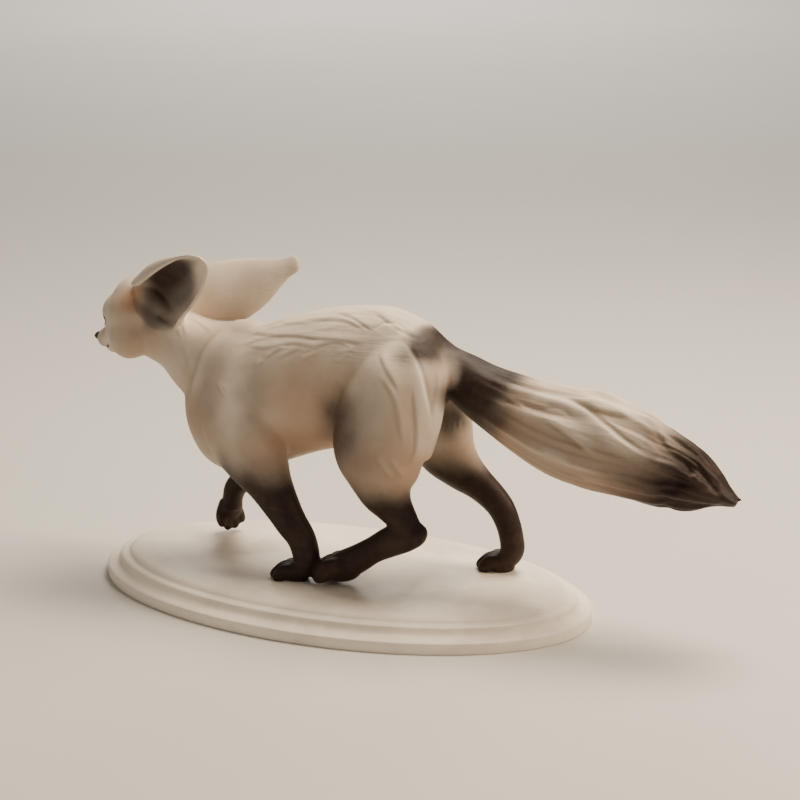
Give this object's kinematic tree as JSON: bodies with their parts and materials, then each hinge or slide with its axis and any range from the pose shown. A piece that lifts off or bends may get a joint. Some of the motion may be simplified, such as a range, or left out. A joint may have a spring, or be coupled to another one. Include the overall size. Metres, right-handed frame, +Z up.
{
  "type": "fennec fox statue",
  "caption": "Painted statue of a fennec fox trotting with swept-back ears and a full tail, standing on a stepped oval plinth.",
  "frame": {"origin": "middle of the plinth's underside, on the floor", "axes": "+X from the nose to the tail tip along the plinth's long axis, +Y towards the fox's right side, +Z up"},
  "size_m": [0.6843, 0.283, 0.3514],
  "materials": {
    "coat": "matt hand-painted cast resin, cream with tan shading",
    "dark_coat": "matt hand-painted cast resin, very dark brown",
    "eye": "gloss varnished, nearly black",
    "nose": "satin varnished, black",
    "plinth": "matt cast resin, warm off-white"
  },
  "bodies": {
    "root": {"plinth": "plinth", "torso": "coat", "neck": "coat", "head": "coat", "ear_left": "coat", "ear_right": "coat", "eye_left": "eye", "eye_right": "eye", "nose": "nose", "foreleg_left": "dark_coat", "foreleg_right": "dark_coat", "thigh_left": "coat", "thigh_right": "coat", "hindfoot_left": "dark_coat", "hindfoot_right": "dark_coat", "tail_base": "dark_coat", "tail_middle": "coat", "tail_tip": "dark_coat"}
  },
  "joints": []
}
